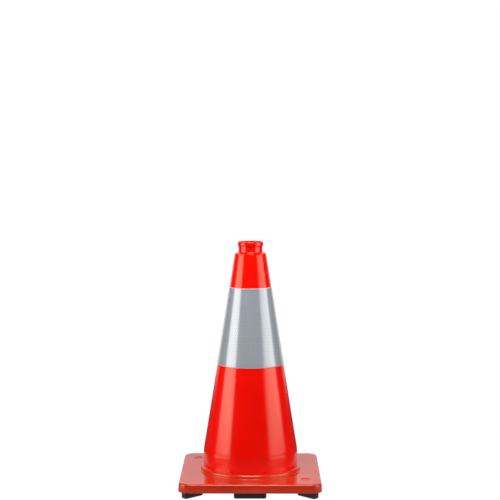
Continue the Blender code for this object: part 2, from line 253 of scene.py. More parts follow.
def smooth_step(value):
    value = np.clip(value, 0.0, 1.0)
    return value * value * (3 - 2 * value)


def ripple(points, size, seed):
    """Smooth unevenness between about -1 and 1 at each point."""
    shift = Vector((seed * 7.3, seed * 3.1, seed * 5.7))
    return np.array([noise.noise(Vector(point) / size + shift) for point in points])


def join_by_boolean(target, tools, operation):
    """Cuts tools out of target, or unites them with it, and deletes them."""
    for tool in tools:
        boolean = target.modifiers.new("join", "BOOLEAN")
        boolean.operation = operation
        boolean.solver = "EXACT"
        boolean.object = tool
    view = bpy.context.evaluated_depsgraph_get()
    joined = bpy.data.meshes.new_from_object(target.evaluated_get(view))
    target.modifiers.clear()
    target.data = joined
    joined.shade_smooth()
    joined.set_sharp_from_angle(angle=SHARP_ANGLE)
    for tool in tools:
        bpy.data.objects.remove(tool, do_unlink=True)
    return target


def finish_piece(piece, body, slot, materials, *nodes):
    """Gives a piece its materials and puts it on its body in place of its CAD nodes."""
    piece.data.materials.clear()
    for material in materials:
        piece.data.materials.append(material)
    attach(piece, body)
    if nodes:
        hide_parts(*nodes)
    return piece


# ------------------------------------------------------------------------ materials
GRAZE_DULL = 0.75            # roughness added to level faces seen along the surface
GRAZE_SLANT = (0.13, 0.21)   # sine of the angle of view: all of it below, none above
LEVEL_FACE = (0.90, 0.96)    # upward part of the normal: none below, all of it above


class NodeMaterial:
    """A Principled material with short calls for the nodes that these finishes need."""

    def __init__(self, name):
        self.material = bpy.data.materials.new(name)
        self.material.use_nodes = True
        self.tree = self.material.node_tree
        self.shader = self.tree.nodes["Principled BSDF"]
        self.place = self.add("ShaderNodeTexCoord").outputs["Object"]

    def add(self, kind, **settings):
        node = self.tree.nodes.new(kind)
        for key, value in settings.items():
            setattr(node, key, value)
        return node

    def link(self, source, target):
        self.tree.links.new(source, target)

    def set(self, **values):
        for key, value in values.items():
            self.shader.inputs[key.replace("_", " ")].default_value = value

    def stretched(self, scale):
        mapping = self.add("ShaderNodeMapping")
        mapping.inputs["Scale"].default_value = scale
        self.link(self.place, mapping.inputs["Vector"])
        return mapping.outputs["Vector"]

    def noise(self, scale, detail=2.0, vector=None):
        texture = self.add("ShaderNodeTexNoise")
        texture.inputs["Scale"].default_value = scale
        texture.inputs["Detail"].default_value = detail
        self.link(vector or self.place, texture.inputs["Vector"])
        return texture.outputs["Fac"]

    def cells(self, scale, feature="F1", output="Distance", vector=None):
        texture = self.add("ShaderNodeTexVoronoi", feature=feature)
        texture.inputs["Scale"].default_value = scale
        self.link(vector or self.place, texture.inputs["Vector"])
        return texture.outputs[output]

    def ramp(self, value, low, high, from_low=0.3, from_high=0.7):
        """Maps a value, by default the spread of a noise texture, to low ... high."""
        spread = self.add("ShaderNodeMapRange", clamp=True)
        spread.inputs["From Min"].default_value = from_low
        spread.inputs["From Max"].default_value = from_high
        spread.inputs["To Min"].default_value = low
        spread.inputs["To Max"].default_value = high
        self.link(value, spread.inputs["Value"])
        return spread.outputs["Result"]

    def blend_colours(self, factor, first, second):
        mix = self.add("ShaderNodeMix", data_type="RGBA")
        self.link(factor, mix.inputs["Factor"])
        for socket, colour in ((mix.inputs[6], first), (mix.inputs[7], second)):
            if isinstance(colour, tuple):
                socket.default_value = colour
            else:
                self.link(colour, socket)
        return mix.outputs[2]

    def bump(self, height, distance, strength=1.0, under=None):
        node = self.add("ShaderNodeBump")
        node.inputs["Strength"].default_value = strength
        node.inputs["Distance"].default_value = distance
        self.link(height, node.inputs["Height"])
        if under is not None:
            self.link(under, node.inputs["Normal"])
        return node.outputs["Normal"]

    def colour(self, source):
        self.link(source, self.shader.inputs["Base Color"])

    def roughness(self, source):
        self.link(source, self.shader.inputs["Roughness"])

    def normal(self, source):
        self.link(source, self.shader.inputs["Normal"])


def moulded_pvc(name, deep, bright, smooth, dull):
    """Glossy soft PVC: faint colour clouds, orange peel, and a film of fine handling marks.

    Level faces turn dull at the lowest angles of view, as moulded grain does.
    """
    finish = NodeMaterial(name)
    clouds = finish.noise(14.0, 3.0)
    finish.colour(finish.blend_colours(finish.ramp(clouds, 0.0, 1.0), deep, bright))
    marks = finish.noise(1.0, 4.0, finish.stretched((900.0, 900.0, 60.0)))
    haze = finish.noise(22.0, 2.0)
    gloss = finish.add("ShaderNodeMath", operation="MULTIPLY")
    finish.link(finish.ramp(marks, smooth, dull), gloss.inputs[0])
    finish.link(finish.ramp(haze, 0.85, 1.15), gloss.inputs[1])
    view = finish.add("ShaderNodeNewGeometry")
    slant = finish.add("ShaderNodeVectorMath", operation="DOT_PRODUCT")
    finish.link(view.outputs["Incoming"], slant.inputs[0])
    finish.link(view.outputs["Normal"], slant.inputs[1])
    level = finish.add("ShaderNodeSeparateXYZ")
    finish.link(view.outputs["Normal"], level.inputs["Vector"])
    graze = finish.add("ShaderNodeMath", operation="MULTIPLY_ADD")
    finish.link(finish.ramp(slant.outputs["Value"], GRAZE_DULL, 0.0, *GRAZE_SLANT), graze.inputs[0])
    finish.link(finish.ramp(level.outputs["Z"], 0.0, 1.0, *LEVEL_FACE), graze.inputs[1])
    finish.link(gloss.outputs["Value"], graze.inputs[2])
    finish.roughness(graze.outputs["Value"])
    peel = finish.bump(finish.noise(420.0, 1.0), 0.00002, 0.35)
    finish.normal(finish.bump(finish.noise(45.0, 1.0), 0.0001, 0.22, under=peel))
    finish.set(IOR=1.5, Specular_Tint=(1.0, 0.94, 0.66, 1))
    return finish.material


def foot_rubber():
    """Satin black rubber with a fine moulded grain and a little pale dust."""
    finish = NodeMaterial("foot_rubber")
    dust = finish.ramp(finish.noise(160.0, 5.0), 0.0, 1.0, 0.5, 0.85)
    finish.colour(finish.blend_colours(dust, (0.0075, 0.0075, 0.008, 1), (0.030, 0.029, 0.027, 1)))
    finish.roughness(finish.ramp(finish.noise(300.0, 2.0), 0.42, 0.60))
    finish.normal(finish.bump(finish.noise(1800.0, 2.0), 0.00006, 0.5))
    return finish.material


def crumb_rubber():
    """Pressed recycled rubber: dark crumbs of uneven tone, with pits between them that carry painted
    shade.
    """
    finish = NodeMaterial("ballast_rubber")
    shade = finish.cells(520.0, output="Color")
    split = finish.add("ShaderNodeSeparateColor")
    finish.link(shade, split.inputs["Color"])
    dark, pale = (0.010, 0.010, 0.010, 1), (0.045, 0.043, 0.040, 1)
    crumbs = finish.blend_colours(split.outputs["Red"], dark, pale)
    pits = finish.ramp(finish.cells(520.0, "DISTANCE_TO_EDGE"), 0.0, 1.0, 0.0, 0.08)
    # the colour goes darker at the crumbs' edges: painted shade in the pits between crumbs
    finish.colour(finish.blend_colours(pits, (0.006, 0.006, 0.006, 1), crumbs))
    finish.roughness(finish.ramp(finish.noise(90.0, 3.0), 0.70, 0.90))
    finish.normal(finish.bump(pits, 0.00025, 0.6))
    return finish.material


def white_vinyl():
    """The collar's backing and its sealed edges: calendered white vinyl."""
    finish = NodeMaterial("white_vinyl")
    soil = finish.ramp(finish.noise(35.0, 4.0), 0.0, 1.0, 0.45, 0.8)
    finish.colour(finish.blend_colours(soil, (0.58, 0.61, 0.64, 1), (0.48, 0.50, 0.52, 1)))
    finish.roughness(finish.ramp(finish.noise(240.0, 2.0), 0.45, 0.60))
    finish.normal(finish.bump(finish.noise(1500.0, 1.0), 0.00002, 0.4))
    return finish.material


def prism_film():
    """Silver-grey prismatic film under clear vinyl: tiny prism facets that shift in shade."""
    finish = NodeMaterial("prism_film")
    facets = finish.cells(2600.0, output="Color")
    split = finish.add("ShaderNodeSeparateColor")
    finish.link(facets, split.inputs["Color"])
    dark, pale = (0.27, 0.30, 0.33, 1), (0.32, 0.35, 0.38, 1)
    finish.colour(finish.blend_colours(split.outputs["Green"], dark, pale))
    finish.set(IOR=1.6, Coat_Weight=1.0, Coat_Roughness=0.12, Coat_IOR=1.6)
    finish.roughness(finish.ramp(finish.noise(60.0, 2.0), 0.16, 0.22))
    finish.normal(finish.bump(split.outputs["Red"], 0.00001, 0.15))
    return finish.material


def weld_line():
    """Where the film is pressed onto the backing the prisms are flat and paler."""
    finish = NodeMaterial("weld_line")
    dark, pale = (0.36, 0.39, 0.42, 1), (0.42, 0.45, 0.48, 1)
    finish.colour(finish.blend_colours(finish.noise(700.0, 1.0), dark, pale))
    finish.set(Roughness=0.2, IOR=1.6, Coat_Weight=1.0, Coat_Roughness=0.12, Coat_IOR=1.6)
    finish.normal(finish.bump(finish.noise(3000.0, 1.0), 0.00001, 0.2))
    return finish.material


# ------------------------------------------------------------------------ the cone shell
def taper_radius(z):
    """Outer radius of the cone's wall, bowed in slightly between shoulder and foot."""
    along = (SHOULDER_Z - z) / (SHOULDER_Z - TAPER_FOOT_Z)
    straight = SHOULDER_RADIUS + (TAPER_FOOT_RADIUS - SHOULDER_RADIUS) * along
    return straight - 4 * TAPER_BOW * along * (1 - along)


def foot_roll():
    """Under the taper the wall rolls in, then runs back to vertical in a hollow curve."""
    spread = TAPER_FOOT_RADIUS - SHOULDER_RADIUS + 4 * TAPER_BOW
    lean = math.atan2(spread, SHOULDER_Z - TAPER_FOOT_Z)
    roll = math.radians(ROLL_ANGLE)
    centre = (TAPER_FOOT_RADIUS - ROLL_ROUND * math.cos(lean),
              TAPER_FOOT_Z - ROLL_ROUND * math.sin(lean))
    reach = ROLL_ROUND + ROLL_HOLLOW
    hollow_centre = (centre[0] + reach * math.cos(roll), centre[1] - reach * math.sin(roll))
    profile = arc(centre, ROLL_ROUND, math.degrees(lean), -ROLL_ANGLE, 16)
    return profile + arc(hollow_centre, ROLL_HOLLOW, 180 - ROLL_ANGLE, 180, 12)[1:]


SHELL_FOOT_RADIUS = foot_roll()[-1][0]


def shell_outside():
    """From the mouth over the rim, down the neck and the taper to the flange."""
    neck_foot = (NECK_RADIUS + NECK_FOOT_ROUND, SHOULDER_Z + SHOULDER_RISE + NECK_FOOT_ROUND)
    lower_round = (RIM_RADIUS - RIM_LOWER_ROUND, RIM_BOTTOM + RIM_LOWER_ROUND)
    profile = arc((MOUTH_RADIUS + MOUTH_ROUND, RIM_Z - MOUTH_ROUND), MOUTH_ROUND, 180, 90, 5)
    profile += arc((RIM_RADIUS - RIM_TOP_ROUND, RIM_Z - RIM_TOP_ROUND), RIM_TOP_ROUND, 90, 0, 12)
    profile += arc(lower_round, RIM_LOWER_ROUND, 0, -80, 7)
    profile.append((NECK_RADIUS, NECK_TOP))
    profile += arc(neck_foot, NECK_FOOT_ROUND, 180, 270 - SHOULDER_PITCH, 12)
    profile += arc((SHOULDER_RADIUS - SHOULDER_ROUND, SHOULDER_Z), SHOULDER_ROUND, *SHOULDER_ARC)
    for z in np.linspace(SHOULDER_Z, TAPER_FOOT_Z, TAPER_ROWS)[1:-1]:
        profile.append((taper_radius(z), z))
    return profile + foot_roll() + [(SHELL_FOOT_RADIUS, FLANGE_BOTTOM + FLANGE_THICKNESS)]


def shell_inside():
    """From the flange's inner edge up the hollow, over the inner shoulder to the mouth."""
    inner_shoulder = SHOULDER_Z - PVC_WALL
    foot_inside = SHELL_FOOT_RADIUS - PVC_WALL
    profile = [(foot_inside, FLANGE_BOTTOM), (foot_inside, INNER_FOOT_Z)]
    for z in np.linspace(TAPER_FOOT_Z, inner_shoulder, TAPER_ROWS // 2):
        profile.append((taper_radius(z) - PVC_WALL, z))
    profile.append((MOUTH_RADIUS + MOUTH_ROUND, inner_shoulder + INNER_SHOULDER_RISE))
    return profile + [(MOUTH_RADIUS, SHOULDER_Z)]


def build_shell(material):
    flange_edge = FLANGE_RADIUS - FLANGE_ROUND
    flange_top = FLANGE_BOTTOM + FLANGE_THICKNESS
    flange = arc((flange_edge, flange_top - FLANGE_ROUND), FLANGE_ROUND, 90, 0, 4)
    flange += arc((flange_edge, FLANGE_BOTTOM + FLANGE_ROUND), FLANGE_ROUND, 0, -90, 4)
    mesh = turned("cone_shell_finish", shell_outside() + flange + shell_inside())
    place = np.array([vertex.co for vertex in mesh.vertices])
    radius = np.hypot(place[:, 0], place[:, 1])
    below_shoulder = smooth_step((SHOULDER_Z - RIPPLE_MARGIN - place[:, 2]) / RIPPLE_FADE)
    above_seam = smooth_step((place[:, 2] - SEAM_Z - RIPPLE_MARGIN) / RIPPLE_FADE)
    swell = ripple(place, RIPPLE_SIZE, 1) * RIPPLE_DEPTH * below_shoulder * above_seam
    place[:, :2] *= (1 + swell / radius)[:, None]
    mesh.vertices.foreach_set("co", place.ravel())
    mesh.update()
    piece = mesh_object("cone_shell_finish", mesh)
    return finish_piece(piece, "cone", "orange_pvc", [material], "cone_shell")


# ------------------------------------------------------------------------ the base cover
def ring_profile():
    """Socket ring: fillet on the top plate, round bead, and the bore down to the plate's underside."""
    bead_centre = (RING_BEAD_RADIUS - RING_BEAD_ROUND, SEAM_Z - RING_BEAD_ROUND)
    fillet_z = BASE_TOP + RING_FILLET
    reach = RING_BEAD_ROUND + RING_FILLET
    dip = math.asin((bead_centre[1] - fillet_z) / reach)
    fillet_centre = (bead_centre[0] + reach * math.cos(dip), fillet_z)
    bore_radius = SHELL_FOOT_RADIUS + GAP
    bore_edge = (bore_radius + BORE_ROUND, SEAM_Z - BORE_ROUND)
    profile = arc(fillet_centre, RING_FILLET, 270, 180 - math.degrees(dip), 8)
    profile += arc(bead_centre, RING_BEAD_ROUND, -math.degrees(dip), 90, 22)[1:]
    profile += arc(bore_edge, BORE_ROUND, 90, 180, 5)
    return profile + [(bore_radius, COVER_UNDERSIDE)]


RING_FOOT_RADIUS = ring_profile()[0][0]


def plate_rows():
    """Rows across the top plate, from the skirt's edge in to the ring's foot."""
    outer_inset = SKIRT_DRAFT + BASE_EDGE_ROUND
    outer = rounded_square(BASE_HALF - outer_inset, BASE_CORNER - outer_inset, BASE_TOP)
    inner = circle(RING_FOOT_RADIUS, BASE_TOP)
    rows = []
    for share in np.linspace(0.0, 1.0, PLATE_ROWS + 1)[1:-1]:
        row = outer * (1 - share) + inner * share
        fade = smooth_step(share * SAG_FADE) * smooth_step((1 - share) * SAG_FADE)
        row[:, 2] += PLATE_SAG * fade * (ripple(row, SAG_SIZE, 2) - SAG_SHIFT)
        rows.append(row)
    return rows


def dimple_tool(side):
    """Cutter for a shallow round sink whose edge is eased."""
    floor = DIMPLE_RADIUS - DIMPLE_SLOPE
    profile = [
        (DIMPLE_RADIUS + DIMPLE_EASE, 2 * DIMPLE_DEPTH),
        (DIMPLE_RADIUS + DIMPLE_EASE, 0.1 * DIMPLE_EASE),
        (DIMPLE_RADIUS + DIMPLE_EASE * 0.4, 0.0),
        (DIMPLE_RADIUS, -DIMPLE_DEPTH * 0.18),
        (DIMPLE_RADIUS - DIMPLE_EASE * 0.6, -DIMPLE_DEPTH * 0.55),
        (floor, -DIMPLE_DEPTH * 0.9),
        (floor * 0.5, -DIMPLE_DEPTH),
    ]
    tool = mesh_object("dimple_tool", turned("dimple_tool", profile, 48, ring_shaped=False))
    tool.location = (side * DIMPLE_PLACE[0], side * DIMPLE_PLACE[1], BASE_TOP)
    return tool


def build_cover(material):
    pocket_half = BASE_HALF - COVER_WALL
    pocket_corner = BASE_CORNER - COVER_WALL
    lip_half = pocket_half - LIP_WIDTH
    lip_corner = pocket_corner - LIP_WIDTH
    lip_top = SKIRT_BOTTOM + LIP_HEIGHT
    rows = [rounded_square(lip_half, lip_corner, SKIRT_BOTTOM)]
    foot_centre = (BASE_HALF - SKIRT_EDGE_ROUND, SKIRT_BOTTOM + SKIRT_EDGE_ROUND)
    edge_centre = (BASE_HALF - SKIRT_DRAFT - BASE_EDGE_ROUND, BASE_TOP - BASE_EDGE_ROUND)
    skirt = arc(foot_centre, SKIRT_EDGE_ROUND, -90, 0, 4)
    skirt += arc(edge_centre, BASE_EDGE_ROUND, 4, 90)
    for half, z in skirt:
        rows.append(rounded_square(half, BASE_CORNER - (BASE_HALF - half), z))
    rows += plate_rows()
    rows += [circle(radius, z) for radius, z in ring_profile()]
    rows.append(rounded_square(pocket_half, pocket_corner, COVER_UNDERSIDE))
    rows.append(rounded_square(pocket_half, pocket_corner, lip_top))
    rows.append(rounded_square(lip_half, lip_corner, lip_top))
    piece = mesh_object("base_cover_finish", skin("base_cover_finish", rows))
    join_by_boolean(piece, [dimple_tool(1), dimple_tool(-1)], "DIFFERENCE")
    return finish_piece(piece, "cone", "base_pvc", [material], "base_cover")


# ------------------------------------------------------------------------ feet and slab
def foot_places():
    """Each foot's name, centre, turn about the vertical and kind, from its CAD box."""
    places = []
    sides = ("foot_right", "foot_back", "foot_left", "foot_front")
    corners = ("foot_back_right", "foot_back_left", "foot_front_left", "foot_front_right")
    for kind, names, shift in (("side", sides, 0.0), ("corner", corners, 0.5)):
        for index, name in enumerate(names):
            low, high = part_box(name)
            centre = (low + high) / 2
            places.append((name, centre, (index + shift) * math.pi / 2, kind))
    return places


def stem_offsets(kind):
    """Stem centres in the foot's own frame, with X along the radius."""
    if kind == "side":
        return [(0.0, side * SIDE_STEM_SPACING / 2) for side in (1, -1)]
    return [(side * CORNER_STEM_SPACING / 2, 0.0) for side in (1, -1)]


def stem_tool(clearance, bottom, top):
    """A stem with its barbed head, or with a clearance the hole that takes it."""
    head_bottom = SLAB_HIGH.z - STEM_HEAD_HEIGHT - clearance
    taper = 0.0 if clearance else STEM_HEAD_RADIUS - STEM_RADIUS
    profile = [
        (STEM_RADIUS + clearance, bottom),
        (STEM_RADIUS + clearance, head_bottom),
        (STEM_HEAD_RADIUS + clearance, head_bottom),
        (STEM_HEAD_RADIUS + clearance, head_bottom + STEM_HEAD_HEIGHT / 2),
        (STEM_HEAD_RADIUS + clearance - taper, top),
    ]
    return turned("stem", profile, 32, ring_shaped=False)


def foot_finish_mesh(kind):
    """A bar with rounded edges and its two stems, lying on the frame's origin."""
    if kind == "side":
        low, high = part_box("foot_right")
        length, width, corner = high.y - low.y, high.x - low.x, SIDE_BAR_CORNER
    else:
        length, width, corner = CORNER_BAR_LENGTH, CORNER_BAR_WIDTH, CORNER_BAR_CORNER
    rows = []
    for inset, z in arc((BAR_EDGE_ROUND, BAR_EDGE_ROUND), BAR_EDGE_ROUND, 270, 180, 9):
        rows.append(bar_loop(length - 2 * inset, width - 2 * inset, corner - inset, z))
    for inset, z in ((0.0, FOOT_TOP - BAR_TOP_CHAMFER), (BAR_TOP_CHAMFER, FOOT_TOP)):
        rows.append(bar_loop(length - 2 * inset, width - 2 * inset, corner - inset, z))
    bar = mesh_object("bar", skin("bar", rows, ring_shaped=False))
    if kind == "side":
        bar.data.transform(Matrix.Rotation(math.pi / 2, 4, "Z"))
    stems = []
    for x, y in stem_offsets(kind):
        stem = mesh_object("stem", stem_tool(0.0, FOOT_TOP - STEM_ROOT, SLAB_HIGH.z - GAP))
        stem.location = (x, y, 0)
        stems.append(stem)
    solid = join_by_boolean(bar, stems, "UNION").data
    bpy.data.objects.remove(bar, do_unlink=True)
    return solid


def build_feet(material):
    solids = {kind: foot_finish_mesh(kind) for kind in ("side", "corner")}
    for name, centre, turn, kind in foot_places():
        piece = mesh_object(name + "_finish", solids[kind].copy())
        piece.data.transform(Matrix.Translation((centre.x, centre.y, 0)) @ Matrix.Rotation(turn, 4, "Z"))
        finish_piece(piece, "cone", "foot_rubber", [material], name)


def build_slab(material):
    """The pressed weight, with crumbs that stand out a little on its underside."""
    corner = BASE_CORNER - COVER_WALL - GAP
    bottom, top = SLAB_LOW.z, SLAB_HIGH.z
    edge = (SLAB_HALF - SLAB_EDGE_ROUND, bottom + SLAB_EDGE_ROUND)
    rows = []
    for half, z in arc(edge, SLAB_EDGE_ROUND, -90, 0, 4):
        rows.append(rounded_square(half, corner - (SLAB_HALF - half), z))
    rows.append(rounded_square(SLAB_HALF, corner, top))
    rows.append(circle(FLANGE_POCKET_RADIUS, top))
    rows.append(circle(FLANGE_POCKET_RADIUS, FLANGE_SEAT))
    rows.append(circle(SLAB_OPENING_RADIUS, FLANGE_SEAT))
    opening = (SLAB_OPENING_RADIUS + SLAB_EDGE_ROUND, bottom + SLAB_EDGE_ROUND)
    rows += [circle(radius, z) for radius, z in arc(opening, SLAB_EDGE_ROUND, 180, 270, 4)]
    inner = circle(opening[0], bottom)
    outer = rounded_square(SLAB_HALF - SLAB_EDGE_ROUND, corner - SLAB_EDGE_ROUND, bottom)
    for share in np.linspace(0.0, 1.0, CRUMB_ROWS)[1:-1]:
        row = inner * (1 - share) + outer * share
        row[:, 2] += CRUMB_DEPTH * (0.5 + 0.5 * ripple(row, CRUMB_SIZE, 3))
        rows.append(row)
    piece = mesh_object("ballast_slab_finish", skin("ballast_slab_finish", rows))
    holes = []
    for _, centre, turn, kind in foot_places():
        for x, y in stem_offsets(kind):
            hole = mesh_object("hole", stem_tool(GAP, bottom - GAP, top + GAP))
            offset = Matrix.Rotation(turn, 3, "Z") @ Vector((x, y, 0))
            hole.location = (centre.x + offset.x, centre.y + offset.y, 0)
            holes.append(hole)
    join_by_boolean(piece, holes, "DIFFERENCE")
    return finish_piece(piece, "cone", "ballast_rubber", [material], "ballast_slab")


# ------------------------------------------------------------------------ the collar
FILM_OUTSET = FILM_HIGH.x - taper_radius(FILM_LOW.z)     # film's face above the shell
FILM_SLOPE = math.atan2(taper_radius(FILM_LOW.z) - taper_radius(FILM_HIGH.z),
                        FILM_HIGH.z - FILM_LOW.z)
FILM_FOOT_RADIUS = taper_radius(FILM_LOW.z) + FILM_OUTSET


def film_surface(turn, z, lift=0.0):
    """A point on the film's weld level, raised by lift. Turn 0 faces the front."""
    radius = taper_radius(z) + FILM_OUTSET - PILLOW_CROWN + lift
    return (radius * math.sin(turn), -radius * math.cos(turn), z)


def sheet_to_cone(across, down):
    """Turn and height of a point of the flat sheet, rolled up without stretching."""
    slant = math.hypot(across, down)
    turn = math.atan2(across, down) / math.sin(FILM_SLOPE)
    radius = slant * math.sin(FILM_SLOPE)
    height = FILM_LOW.z + (FILM_FOOT_RADIUS - radius) / math.tan(FILM_SLOPE)
    return turn, height


def clip_polygon(points, normal, limit):
    """The part of a convex polygon where point . normal is at most limit."""
    kept = []
    for index, point in enumerate(points):
        previous = points[index - 1]
        here = point[0] * normal[0] + point[1] * normal[1] - limit
        before = previous[0] * normal[0] + previous[1] * normal[1] - limit
        if (here > 0) != (before > 0):
            share = before / (before - here)
            kept.append((previous[0] + (point[0] - previous[0]) * share,
                         previous[1] + (point[1] - previous[1]) * share))
        if here <= 0:
            kept.append(point)
    return kept


def inset_polygon(points, distance):
    """A convex polygon moved in by distance on every side; empty where nothing is left."""
    inner = list(points)
    count = len(points)
    for index in range(count):
        start, end = points[index], points[(index + 1) % count]
        length = math.hypot(end[0] - start[0], end[1] - start[1])
        if length < TINY:
            return []
        outward = ((end[1] - start[1]) / length, -(end[0] - start[0]) / length)
        limit = start[0] * outward[0] + start[1] * outward[1] - distance
        inner = clip_polygon(inner, outward, limit)
    return inner if len(inner) == count else []


def without_doubles(points):
    kept = []
    for point in points:
        if not kept or math.dist(point, kept[-1]) > TINY:
            kept.append(point)
    if len(kept) > 1 and math.dist(kept[0], kept[-1]) <= TINY:
        kept.pop()
    return kept


def honeycomb_cells():
    """Cells as polygons of (turn, height), cut off at the sheet's edges."""
    step = math.sqrt(3) * CELL_SIDE
    pitch = 1.5 * CELL_SIDE
    longest = FILM_FOOT_RADIUS / math.sin(FILM_SLOPE)
    last_turn = math.pi - FILM_BUTT
    turn_margin, height_margin = 0.1, 0.005
    cells = []
    rows = int(longest / pitch) + 2
    columns = int(longest / step) + 2
    for row in range(1, rows):
        for column in range(-columns, columns + 1):
            centre = ((column + 0.5 * (row % 2)) * step, row * pitch)
            turn, height = sheet_to_cone(*centre)
            if abs(turn) > last_turn + turn_margin:
                continue
            if not FILM_LOW.z - height_margin < height < FILM_HIGH.z + height_margin:
                continue
            corners = []
            for corner in range(6):
                angle = math.pi / 6 + corner * math.pi / 3
                corners.append(sheet_to_cone(centre[0] + CELL_SIDE * math.cos(angle),
                                             centre[1] + CELL_SIDE * math.sin(angle)))
            for normal, limit in (((1, 0), last_turn), ((-1, 0), last_turn),
                                  ((0, 1), FILM_HIGH.z), ((0, -1), -FILM_LOW.z)):
                corners = clip_polygon(corners, normal, limit)
            if len(corners) > 2:
                cells.append(corners)
    return cells


class FilmMesh:
    """Collects the honeycomb's faces; points that coincide are shared."""

    def __init__(self):
        self.points, self.faces, self.kinds, self.index = [], [], [], {}

    def point(self, turn, height, lift):
        key = (round(turn * 1e6), round(height * 1e7), round(lift * 1e7))
        if key not in self.index:
            self.index[key] = len(self.points)
            self.points.append(film_surface(turn, height, lift))
        return self.index[key]

    def face(self, corners, kind):
        unique = list(dict.fromkeys(corners))
        if len(unique) > 2:
            self.faces.append(unique)
            self.kinds.append(kind)


def add_cell(film, corners):
    """A pillowed cell inside its half of the weld lines round it."""
    middle = tuple(sum(place) / len(corners) for place in zip(*corners))
    wide = taper_radius(middle[1])
    tall = 1 / math.cos(FILM_SLOPE)

    def unroll(corner):
        return ((corner[0] - middle[0]) * wide, (corner[1] - middle[1]) * tall)

    def roll(point):
        return (point[0] / wide + middle[0], point[1] / tall + middle[1])

    flat = without_doubles([unroll(corner) for corner in corners])
    area = sum(a[0] * b[1] - b[0] * a[1] for a, b in zip(flat, flat[1:] + flat[:1]))
    if area < 0:
        flat.reverse()
    edge = [film.point(*roll(point), 0.0) for point in flat]
    weld = inset_polygon(flat, WELD_HALF_WIDTH)
    face = inset_polygon(flat, WELD_HALF_WIDTH + PILLOW_EDGE)
    if len(flat) < 3 or not weld or not face:
        film.face(edge, 0)
        return
    weld_ring = [film.point(*roll(point), 0.0) for point in weld]
    face_ring = [film.point(*roll(point), PILLOW_RISE) for point in face]
    crown = film.point(*middle, PILLOW_CROWN)
    count = len(flat)
    for index in range(count):
        following = (index + 1) % count
        film.face((edge[index], edge[following], weld_ring[following], weld_ring[index]), 1)
        film.face((weld_ring[index], weld_ring[following], face_ring[following], face_ring[index]), 0)
        film.face((face_ring[index], face_ring[following], crown), 0)


def thicken(piece, thickness, rim_material=0):
    """Makes a closed solid of a sheet by going inwards from it."""
    solid = piece.modifiers.new("thickness", "SOLIDIFY")
    solid.thickness = thickness
    solid.offset = -1.0
    solid.material_offset_rim = rim_material
    view = bpy.context.evaluated_depsgraph_get()
    piece.data = bpy.data.meshes.new_from_object(piece.evaluated_get(view))
    piece.modifiers.clear()


def build_film(film_material, weld_material):
    film = FilmMesh()
    for corners in honeycomb_cells():
        add_cell(film, corners)
    mesh = bpy.data.meshes.new("collar_prism_film_finish")
    mesh.from_pydata(film.points, [], film.faces)
    piece = mesh_object("collar_prism_film_finish", mesh)
    mesh.materials.append(film_material)
    mesh.materials.append(weld_material)
    mesh.polygons.foreach_set("material_index", film.kinds)
    thicken(piece, FILM_THICKNESS - PILLOW_CROWN, rim_material=1)
    piece.data.shade_smooth()
    piece.data.set_sharp_from_angle(angle=SHARP_ANGLE)
    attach(piece, "collar")
    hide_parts("collar_prism_film")
    return piece


def build_backing(material):
    """The white sleeve; a narrow edge of it shows above and below the film."""
    outset = BACKING_HIGH.x - taper_radius(BACKING_LOW.z)
    edge = BACKING_THICKNESS / 2
    inner = outset - BACKING_THICKNESS
    heights = np.linspace(BACKING_HIGH.z - edge, BACKING_LOW.z + edge, 40)
    profile = [(taper_radius(BACKING_HIGH.z) + inner + edge, BACKING_HIGH.z)]
    profile += [(taper_radius(z) + outset, z) for z in heights]
    profile.append((taper_radius(BACKING_LOW.z) + inner + edge, BACKING_LOW.z))
    profile += [(taper_radius(z) + inner, z) for z in heights[::-1]]
    piece = mesh_object("collar_backing_finish", turned("collar_backing_finish", profile))
    return finish_piece(piece, "collar", "white_vinyl", [material], "collar_backing")


def build_overlap(film_material, weld_material):
    """The sheet's outer end, welded down over its inner end at the back of the collar."""
    across_steps, up_steps = 14, 90
    heights = np.linspace(FILM_HIGH.z, FILM_LOW.z, up_steps + 1)
    offsets = np.linspace(-OVERLAP_WIDTH / 2, OVERLAP_WIDTH / 2, across_steps + 1)
    points, faces, kinds = [], [], []
    for z in heights:
        for offset in offsets:
            turn = math.pi + offset / taper_radius(z)
            edge_distance = OVERLAP_WIDTH / 2 - abs(offset)
            raised = smooth_step(edge_distance / OVERLAP_BORDER) * PILLOW_RISE
            points.append(film_surface(turn, z, PILLOW_CROWN + OVERLAP_THICKNESS + raised))
    for row in range(up_steps):
        for column in range(across_steps):
            first = row * (across_steps + 1) + column
            faces.append((first, first + across_steps + 1, first + across_steps + 2, first + 1))
            middle = abs(offsets[column] + offsets[column + 1]) / 2
            border = middle > OVERLAP_WIDTH / 2 - OVERLAP_BORDER
            kinds.append(1 if border or row in (0, up_steps - 1) else 0)
    mesh = bpy.data.meshes.new("collar_overlap")
    mesh.from_pydata(points, [], faces)
    mesh.materials.append(film_material)
    mesh.materials.append(weld_material)
    mesh.polygons.foreach_set("material_index", kinds)
    piece = mesh_object("collar_overlap", mesh)
    thicken(piece, OVERLAP_THICKNESS - OVERLAP_GAP)
    tidy_mesh(piece.data)
    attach(piece, "collar")
    return piece


# ------------------------------------------------------------------------ studio
CAMERA_PLACE = (0.0166, -2.583, 0.640)
CAMERA_PITCH = math.radians(4.40)
CAMERA_YAW = math.radians(0.389)
CAMERA_LENS = 99.95
FLOOR_HALF = 1.7
FLOOR_DROP = 0.0002
FLOOR_SHOWN = 1.0            # brightness of the floor to the camera
FLOOR_GLOW = 0.25            # the same as a source of soft light from below
